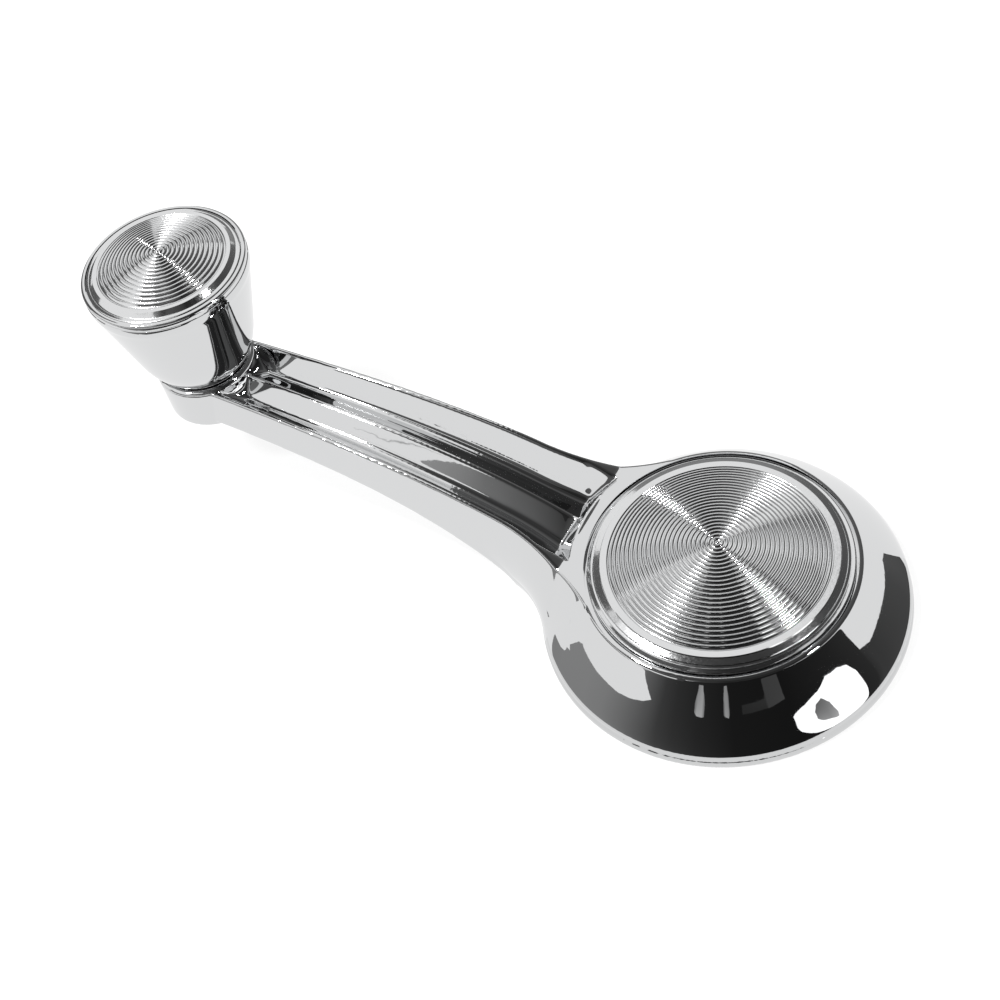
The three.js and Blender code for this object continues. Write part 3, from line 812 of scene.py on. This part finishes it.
def nodes_of(name):
    material = bpy.data.materials.new(name)
    material.use_nodes = True
    tree = material.node_tree
    return material, tree, tree.nodes["Principled BSDF"]


def plated(name, colour, roughness, spread, scratch_scale, bump_strength):
    """Polished plate: even colour, with faint wipe marks in its gloss and a trace of waviness."""
    material, tree, shader = nodes_of(name)
    shader.inputs["Base Color"].default_value = (*colour, 1)
    shader.inputs["Metallic"].default_value = 1.0
    coords = tree.nodes.new("ShaderNodeTexCoord")
    noise = tree.nodes.new("ShaderNodeTexNoise")
    noise.inputs["Scale"].default_value = scratch_scale
    noise.inputs["Detail"].default_value = MARK_DETAIL
    tree.links.new(coords.outputs["Object"], noise.inputs["Vector"])
    gloss = tree.nodes.new("ShaderNodeMapRange")
    gloss.inputs["From Min"].default_value = MARK_LOW
    gloss.inputs["From Max"].default_value = MARK_HIGH
    gloss.inputs["To Min"].default_value = roughness
    gloss.inputs["To Max"].default_value = roughness + spread
    tree.links.new(noise.outputs["Fac"], gloss.inputs["Value"])
    tree.links.new(gloss.outputs["Result"], shader.inputs["Roughness"])
    waves = tree.nodes.new("ShaderNodeTexNoise")
    waves.inputs["Scale"].default_value = scratch_scale * WAVE_SHARE
    waves.inputs["Detail"].default_value = WAVE_DETAIL
    tree.links.new(coords.outputs["Object"], waves.inputs["Vector"])
    bump = tree.nodes.new("ShaderNodeBump")
    bump.inputs["Strength"].default_value = bump_strength
    bump.inputs["Distance"].default_value = WAVE_DEPTH
    tree.links.new(waves.outputs["Fac"], bump.inputs["Height"])
    tree.links.new(bump.outputs["Normal"], shader.inputs["Normal"])
    return material


CHROME = plated("chrome_plate", (0.68, 0.685, 0.69), 0.015, 0.02, 900.0, 0.03)
DISC = plated("spun_disc", (0.71, 0.715, 0.72), 0.09, 0.05, 2500.0, 0.05)
STEEL = plated("plated_steel", (0.55, 0.55, 0.56), 0.25, 0.2, 1500.0, 0.2)
SPRING = plated("spring_steel", (0.25, 0.25, 0.26), 0.35, 0.2, 1500.0, 0.2)


# Pieces

def polish(obj, rounds):
    """Evens out the surface normals away from sharp edges, as buffing does."""
    mesh = obj.data
    edges = np.zeros(len(mesh.edges) * 2, dtype=np.int64)
    mesh.edges.foreach_get("vertices", edges)
    edges = edges.reshape(-1, 2)
    sharp = np.zeros(len(mesh.edges), dtype=bool)
    mesh.attributes["sharp_edge"].data.foreach_get("value", sharp)
    free = np.ones(len(mesh.vertices), dtype=bool)
    free[edges[sharp].ravel()] = False
    normals = np.zeros(len(mesh.vertices) * 3)
    mesh.vertex_normals.foreach_get("vector", normals)
    normals = normals.reshape(-1, 3)
    soft = edges[free[edges].all(axis=1)]
    for _ in range(rounds):
        total = normals.copy()
        np.add.at(total, soft[:, 0], normals[soft[:, 1]])
        np.add.at(total, soft[:, 1], normals[soft[:, 0]])
        normals = total / np.linalg.norm(total, axis=1, keepdims=True)
    corners = np.zeros(len(mesh.loops), dtype=np.int64)
    mesh.loops.foreach_get("vertex_index", corners)
    wanted = np.where(free[corners, None], normals[corners], 0.0)
    mesh.normals_split_custom_set([tuple(n) for n in wanted.tolist()])


def hand_over(obj, name, body, node, material, sharp_degrees=32, polish_rounds=0):
    """Turns a piece drawn in millimetres into the frame and joins it to its CAD body."""
    obj.name = name
    obj.data.transform(Matrix.Rotation(math.pi, 4, "Z") @ Matrix.Scale(MM, 4))
    obj.data.polygons.foreach_set("use_smooth", [True] * len(obj.data.polygons))
    obj.data.set_sharp_from_angle(angle=math.radians(sharp_degrees))
    if polish_rounds:
        polish(obj, polish_rounds)
    obj.data.materials.clear()
    obj.data.materials.append(material)
    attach(obj, body)
    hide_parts(node)


hand_over(casting(), "winder_casting", "crank", "crank_arm", CHROME, 40, NORMAL_ROUNDS)
hand_over(hub_disc(), "winder_hub_disc", "crank", "hub_disc", DISC, 40)
hand_over(retaining_clip(), "winder_retaining_clip", "clip", "retaining_clip", SPRING)
hand_over(knob_spindle(), "winder_knob_spindle", "crank", "knob_spindle", STEEL)
hand_over(thrust_washer(), "winder_thrust_washer", "crank", "thrust_washer", STEEL)
hand_over(spring_washer(), "winder_spring_washer", "crank", "spring_washer", SPRING)
hand_over(knob_shell(), "winder_knob_shell", "knob", "knob_shell", CHROME, 25)
hand_over(knob_disc(), "winder_knob_disc", "knob", "knob_disc", DISC, 40)


# Studio

CARD_CENTRE = Vector((-0.04, 0, 0.02))
CARD_DISTANCE = 0.6
NEARER_CARD_DISTANCE = 0.59
NEAREST_CARD_DISTANCE = 0.585
CARD_FOOT = -45
SCREEN_Y = -70
GREY_Y = -70.6
DARK_Y = -71
HIGHLIGHT_COVER_Y = -30
PATCH_SHEET_HEIGHT = 6.2
RIM_SHEET_RADIUS = 36
RIM_SHEET_HEIGHT = -0.1
RIM_SHEET_CORNERS = 72
STRIP_ROWS = 12
STRIP_STEPS = 6


def direction(azimuth, elevation):
    a, e = math.radians(azimuth), math.radians(elevation)
    return Vector((math.cos(a) * math.cos(e), math.sin(a) * math.cos(e), math.sin(e)))


def glow(name):
    """An even glow whose level is kept in the mesh, corner by corner."""
    material = bpy.data.materials.new(name)
    material.use_nodes = True
    tree = material.node_tree
    tree.nodes.clear()
    level = tree.nodes.new("ShaderNodeAttribute")
    level.attribute_name = "level"
    emission = tree.nodes.new("ShaderNodeEmission")
    emission.inputs["Color"].default_value = (1, 1, 1, 1)
    output = tree.nodes.new("ShaderNodeOutputMaterial")
    tree.links.new(level.outputs["Fac"], emission.inputs["Strength"])
    tree.links.new(emission.outputs["Emission"], output.inputs["Surface"])
    return material


GLOW = glow("card_glow")


def mirrored_only(obj, levels):
    """Makes a sheet that nothing but the metal's reflections can see."""
    attribute = obj.data.attributes.new("level", "FLOAT", "POINT")
    attribute.data.foreach_set("value", levels)
    obj.data.materials.append(GLOW)
    obj.visible_camera = False
    obj.visible_diffuse = False
    obj.visible_transmission = False
    obj.visible_volume_scatter = False
    obj.visible_shadow = False


def strip(name, columns, place):
    """A sheet put in the room by place. Its columns list position, low and high end, low and high level."""
    points = []
    levels = []
    last = len(columns) - 1
    for i in range(last * STRIP_STEPS + 1):
        first = min(i // STRIP_STEPS, last - 1)
        share = i / STRIP_STEPS - first
        column = [mix(a, b, share) for a, b in zip(columns[first], columns[first + 1])]
        position, low, high, level_low, level_high = column
        for k in range(STRIP_ROWS + 1):
            points.append(place(position, mix(low, high, k / STRIP_ROWS)))
            levels.append(mix(level_low, level_high, k / STRIP_ROWS))
    faces = []
    for i in range(last * STRIP_STEPS):
        for k in range(STRIP_ROWS):
            a = i * (STRIP_ROWS + 1) + k
            b = a + STRIP_ROWS + 1
            faces.append((a, b, b + 1, a + 1))
    mirrored_only(new_object(name, points, faces), levels)


def card(name, columns, distance=CARD_DISTANCE):
    """A curved card round the object, whose columns stand at azimuths and span elevations."""
    strip(name, columns, lambda azimuth, elevation: CARD_CENTRE + direction(azimuth, elevation) * distance)


def screen(name, columns, y):
    """An upright screen beside the arm, whose columns stand at x and span heights, in millimetres."""
    strip(name, columns, lambda x, z: Vector((x, y, z)) * MM)


def even(level, columns):
    """Columns of position, low and high end, given one level."""
    return [(*column, level, level) for column in columns]


def from_foot(columns):
    """Columns of azimuth, high end, low and high level, that all start at the cards' foot."""
    return [(azimuth, CARD_FOOT, *rest) for azimuth, *rest in columns]


def sheet(name, corners, height, level):
    """A flat sheet through corners in millimetres, at one height."""
    count = len(corners)
    obj = new_object(name, [(x * MM, y * MM, height * MM) for x, y in corners], [tuple(range(count))])
    mirrored_only(obj, [level] * count)


# What the metal mirrors: sheets that glow at set levels and that only its reflections see, which paint the
# reflections of a dark room in front and above, grey and pale walls, a pale floor and one bright painted
# highlight
card("grey_left", from_foot([
    (-171, -12, 0.28, 0.28), (-168, -4, 0.28, 0.28), (-160, 4, 0.28, 0.3), (-140, 11, 0.28, 0.29),
    (-128, 15, 0.27, 0.26), (-118, 18, 0.21, 0.2), (-104, 23, 0.11, 0.1),
]))
card("dark_front", from_foot([
    (-104, 23, 0.11, 0.1), (-98, 28, 0.08, 0.05), (-90, 34, 0.06, 0.03), (-78, 36, 0.035, 0.02),
    (-60, 36, 0.014, 0.012), (-30, 34, 0.01, 0.01), (0, 28, 0.02, 0.02), (13, 20, 0.03, 0.03),
]))
card("dark_right", from_foot([
    (13, 20, 0.03, 0.03), (14, 9, 0.04, 0.04), (17, 7.6, 0.06, 0.05), (20, 6, 0.06, 0.05),
    (29, 3.6, 0.07, 0.06), (39, -0.2, 0.07, 0.07), (50, -5.2, 0.07, 0.08), (58, -8.8, 0.07, 0.1),
    (63, -12.5, 0.07, 0.1), (66, -18, 0.07, 0.09), (67, -33, 0.07, 0.08),
]))
card("far_panels", [
    (-54, 20.4, 22.6, 0.03, 0.03), (-41, 20.2, 22.4, 0.03, 0.04), (-40, 20, 24.5, 0.06, 0.06),
    (-31, 20, 24, 0.07, 0.06),
], NEARER_CARD_DISTANCE)
# A patch that glows brighter than white, seen only in the metal and no lamp, paints bright highlights on
# the hub's flank and the boss's skirt.
card("highlight_glow", [
    *even(1.5, [(-30.5, 3, 12.5), (-29, -4, 13.6), (-26, -11, 14.5), (-22, -19, 15)]),
    *even(1.7, [(-18, -24, 15.4), (-13, -29, 15.6), (-8, -30, 16)]),
    *even(1.7, [(0, -31, 14), (4, -29, 12), (6, -24, 8)]),
], NEARER_CARD_DISTANCE)
# A dimmer bar in front of part of that patch darkens a band across the painted highlight.
card("highlight_dim_bar", [
    (-20.5, 2, 8, 0.3, 0.2), (-18.5, -3, 11.6, 0.4, 0.16), (-15, -7, 12.6, 0.4, 0.2),
    (-12.5, -10, 8, 0.5, 0.3), (-11, -11, -4, 0.6, 0.5),
], NEAREST_CARD_DISTANCE)
card("ceiling", [
    (-190, 74, 90, 0.12, 0.05), (-118, 66, 90, 0.06, 0.04), (0, 64, 90, 0.04, 0.04),
    (60, 64, 90, 0.05, 0.04), (100, 70, 90, 0.08, 0.05), (170, 76, 90, 0.12, 0.05),
])
card("high_front", [
    (-92, 40, 66, 0.3, 0.06), (-78, 34, 66, 0.06, 0.04), (-60, 33, 66, 0.03, 0.02),
    (-10, 33, 66, 0.03, 0.02),
])
card("right_wall", [
    (-10, 34, 66, 0.03, 0.03), (20, 26, 66, 0.06, 0.04), (60, 14, 66, 0.11, 0.07),
    (84, 6, 68, 0.14, 0.1), (102, 12, 70, 0.2, 0.13),
])
card("back_low", [(96, -6, 30, 0.3, 0.2), (116, -6, 36, 0.3, 0.2), (136, -6, 30, 0.3, 0.2)])
card("back_left", [(160, -4, 45, 0.14, 0.14), (176, -4, 50, 0.12, 0.11), (196, -10, 50, 0.14, 0.11)])
screen("pale_band", even(1, [
    (-400, 0, 34), (-180, 0, 34), (-170, 3, 34), (-156, 11, 34), (-146, 16.5, 34), (-128, 19.6, 34),
    (-60, 20, 34), (-38, 20.2, 34), (-30, 21.2, 32.5), (-26, 22, 31.2), (-20, 23.4, 28.6),
    (-15, 25.6, 25.8),
]), SCREEN_Y)
screen("pale_wall", even(1, [
    (-170, 61, 82), (-133, 58, 68), (-120, 56, 65), (-110, 54, 63), (-100, 52, 60), (-90, 49.4, 57),
    (-80, 47, 55), (-70, 44, 52), (-60, 40.6, 50), (-50, 37.4, 46), (-44, 35.6, 44), (-30, 35, 44),
    (-20, 35.4, 44), (-3, 37, 44),
]), SCREEN_Y)
screen("grey_gap", [(-190, 33, 64, 0.3, 0.3), (-133, 33, 60, 0.24, 0.24), (-44, 33, 38, 0.2, 0.2)], GREY_Y)
screen("dark_wall", [
    (-120, 58, 90, 0.12, 0.08), (-100, 54, 96, 0.12, 0.08), (-62, 40, 94, 0.16, 0.1),
    (-46, 36, 92, 0.14, 0.08), (-20, 33, 92, 0.12, 0.06), (2, 36, 92, 0.06, 0.05),
], DARK_Y)
screen("high_panel", [
    (-112, 122, 204, 0.12, 0.06), (-60, 118, 204, 0.1, 0.05), (4, 118, 204, 0.06, 0.03),
], DARK_Y)
screen("near_panel", [
    (-81, 92, 98.2, 0.36, 0.36), (-76, 92, 99.5, 0.35, 0.35), (-70, 92, 100.6, 0.33, 0.33),
    (-64, 92, 101.4, 0.3, 0.3), (-58, 92, 103.2, 0.27, 0.26), (-50, 92, 107, 0.23, 0.18),
    (-30, 92, 135, 0.16, 0.06), (0, 92, 160, 0.08, 0.04),
], SCREEN_Y)
screen("near_line", [
    (-112, 104.6, 104.8, 0.6, 0.6), (-97, 102.5, 102.9, 0.5, 0.5), (-88, 103, 103.5, 0.45, 0.45),
    (-80, 103.3, 103.9, 0.4, 0.4), (-72, 102.9, 103.3, 0.5, 0.5), (-66, 103.5, 103.7, 0.6, 0.6),
], SCREEN_Y)
# A pale sheet seen only in the metal, standing for nothing in the room: it hides the high left lamp's
# mirrored highlight on the trough and the knob and paints a pale reflection there instead.
screen("highlight_cover", even(0.9, [(-200, 105, 215), (-86, 105, 215)]), HIGHLIGHT_COVER_Y)
screen("left_bar", [
    (11.5, 28, 31, 0.2, 0.2), (13, 26.5, 36, 0.5, 0.3), (16, 26.5, 36.3, 0.5, 0.4),
    (17.4, 27, 33, 0.2, 0.2),
], SCREEN_Y)
screen("middle_bar", [
    (30, 30, 34, 0.1, 0.1), (31.3, 29.5, 39.5, 0.4, 0.3), (33.5, 29.5, 40, 0.36, 0.3),
    (34.3, 31, 38, 0.1, 0.1),
], SCREEN_Y)
sheet("pale_floor", [
    (0, 0), (-20, -13.5), (-26, -19), (-36, -20), (-44, -20.5), (-48, -24), (-55, -30.5), (-70, -38),
    (-85, -43), (-120, -53), (-165, -51), (-230, -69), (-420, -69), (-420, 160), (97, 180), (61, 100),
    (25, 20),
], 0, 1.0)
# A pale sheet seen only in the metal, floating above the floor beside the arm and standing for nothing in
# the room: it paints a pale reflection on the side of the arm where it meets the hub.
sheet("pale_patch_sheet", [
    (-24, -16.5), (-24, -21), (-29, -24.5), (-47, -33), (-75, -40), (-115, -50), (-115, -25), (-60, -14),
    (-36, -11),
], PATCH_SHEET_HEIGHT, 1.0)
sheet("rim_floor", [
    (RIM_SHEET_RADIUS * math.cos(a), RIM_SHEET_RADIUS * math.sin(a))
    for a in np.linspace(0, 2 * math.pi, RIM_SHEET_CORNERS, endpoint=False)
], RIM_SHEET_HEIGHT, 0.9)


# Floor, lamps and room light

FLOOR_REACH = 4
FLOOR_COLOUR = (0.93, 0.93, 0.93, 1)
FLOOR_WHITE = 0.8
ROOM_LEVEL = 0.9
LAMP_AIM = Vector((-0.03, 0, 0.02))


def light_path_choice(tree):
    """A number that is 1 for what the camera, metal or glass sees, and 0 for light that falls on things."""
    path = tree.nodes.new("ShaderNodeLightPath")
    first = tree.nodes.new("ShaderNodeMath")
    first.operation = "MAXIMUM"
    tree.links.new(path.outputs["Is Camera Ray"], first.inputs[0])
    tree.links.new(path.outputs["Is Glossy Ray"], first.inputs[1])
    second = tree.nodes.new("ShaderNodeMath")
    second.operation = "MAXIMUM"
    tree.links.new(first.outputs["Value"], second.inputs[0])
    tree.links.new(path.outputs["Is Transmission Ray"], second.inputs[1])
    return second.outputs["Value"]


def show_white(tree, shader, share):
    """Lays plain white over part of what is seen of a surface, so that its shadows stay faint."""
    white = tree.nodes.new("ShaderNodeEmission")
    white.inputs["Color"].default_value = (1, 1, 1, 1)
    white.inputs["Strength"].default_value = 1.0
    part = tree.nodes.new("ShaderNodeMath")
    part.operation = "MULTIPLY"
    tree.links.new(light_path_choice(tree), part.inputs[0])
    part.inputs[1].default_value = share
    blend = tree.nodes.new("ShaderNodeMixShader")
    tree.links.new(part.outputs["Value"], blend.inputs["Fac"])
    tree.links.new(shader.outputs["BSDF"], blend.inputs[1])
    tree.links.new(white.outputs["Emission"], blend.inputs[2])
    tree.links.new(blend.outputs["Shader"], tree.nodes["Material Output"].inputs["Surface"])


def floor_plane():
    """The pale floor, which keeps the object's soft shadow."""
    r = FLOOR_REACH
    floor = new_object("floor", [(-r, -r, 0), (r, -r, 0), (r, r, 0), (-r, r, 0)], [(0, 1, 2, 3)])
    material, tree, shader = nodes_of("floor")
    shader.inputs["Base Color"].default_value = FLOOR_COLOUR
    shader.inputs["Roughness"].default_value = 1.0
    shader.inputs["Specular IOR Level"].default_value = 0.0
    show_white(tree, shader, FLOOR_WHITE)
    floor.data.materials.append(material)
    floor.visible_glossy = False


def lamp(name, azimuth, elevation, distance, size, power):
    """A round lamp aimed at the arm."""
    data = bpy.data.lights.new(name, "AREA")
    data.shape = "DISK"
    data.size = size
    data.energy = power
    obj = bpy.data.objects.new(name, data)
    bpy.context.scene.collection.objects.link(obj)
    obj.location = LAMP_AIM + direction(azimuth, elevation) * distance
    obj.rotation_mode = "QUATERNION"
    obj.rotation_quaternion = direction(azimuth, elevation).to_track_quat("Z", "Y")


def room_light():
    """Even light from all round, which the camera and the metal see as white."""
    world = bpy.data.worlds.new("studio")
    bpy.context.scene.world = world
    world.use_nodes = True
    tree = world.node_tree
    tree.nodes.clear()
    soft = tree.nodes.new("ShaderNodeBackground")
    soft.inputs["Color"].default_value = (1, 1, 1, 1)
    soft.inputs["Strength"].default_value = ROOM_LEVEL
    white = tree.nodes.new("ShaderNodeBackground")
    white.inputs["Color"].default_value = (1, 1, 1, 1)
    white.inputs["Strength"].default_value = 1.0
    choice = tree.nodes.new("ShaderNodeMixShader")
    tree.links.new(light_path_choice(tree), choice.inputs["Fac"])
    tree.links.new(soft.outputs["Background"], choice.inputs[1])
    tree.links.new(white.outputs["Background"], choice.inputs[2])
    output = tree.nodes.new("ShaderNodeOutputWorld")
    tree.links.new(choice.outputs["Shader"], output.inputs["Surface"])


floor_plane()
lamp("left_lamp", azimuth=-132, elevation=53, distance=0.9, size=0.1, power=3.6)
lamp("high_left_lamp", azimuth=-150, elevation=64, distance=0.9, size=0.12, power=6.4)
lamp("right_lamp", azimuth=9, elevation=53, distance=0.55, size=0.054, power=0.75)
room_light()


# Camera at the photo's place and angle, solved from the circles of the discs and the rim

CAMERA_PLACE = Vector((0.08321, -0.14378, 0.24538))
CAMERA_RIGHT = Vector((0.86226, 0.47666, -0.17116))
CAMERA_DOWN = Vector((0.28931, -0.74097, -0.60603))
CAMERA_FORWARD = Vector((-0.41569, 0.47304, -0.77681))
CAMERA_LENS = 61.2
CAMERA_SENSOR = 36.0
CAMERA_NEAR = 0.01
CAMERA_FAR = 20.0


def camera():
    data = bpy.data.cameras.new("camera")
    data.lens = CAMERA_LENS
    data.sensor_width = CAMERA_SENSOR
    data.clip_start = CAMERA_NEAR
    data.clip_end = CAMERA_FAR
    obj = bpy.data.objects.new("camera", data)
    bpy.context.scene.collection.objects.link(obj)
    turn = Matrix((CAMERA_RIGHT, -CAMERA_DOWN, -CAMERA_FORWARD)).transposed()
    obj.matrix_world = Matrix.Translation(CAMERA_PLACE) @ turn.to_4x4()
    return obj


bpy.context.scene.camera = camera()
bpy.context.scene.view_settings.view_transform = "Standard"
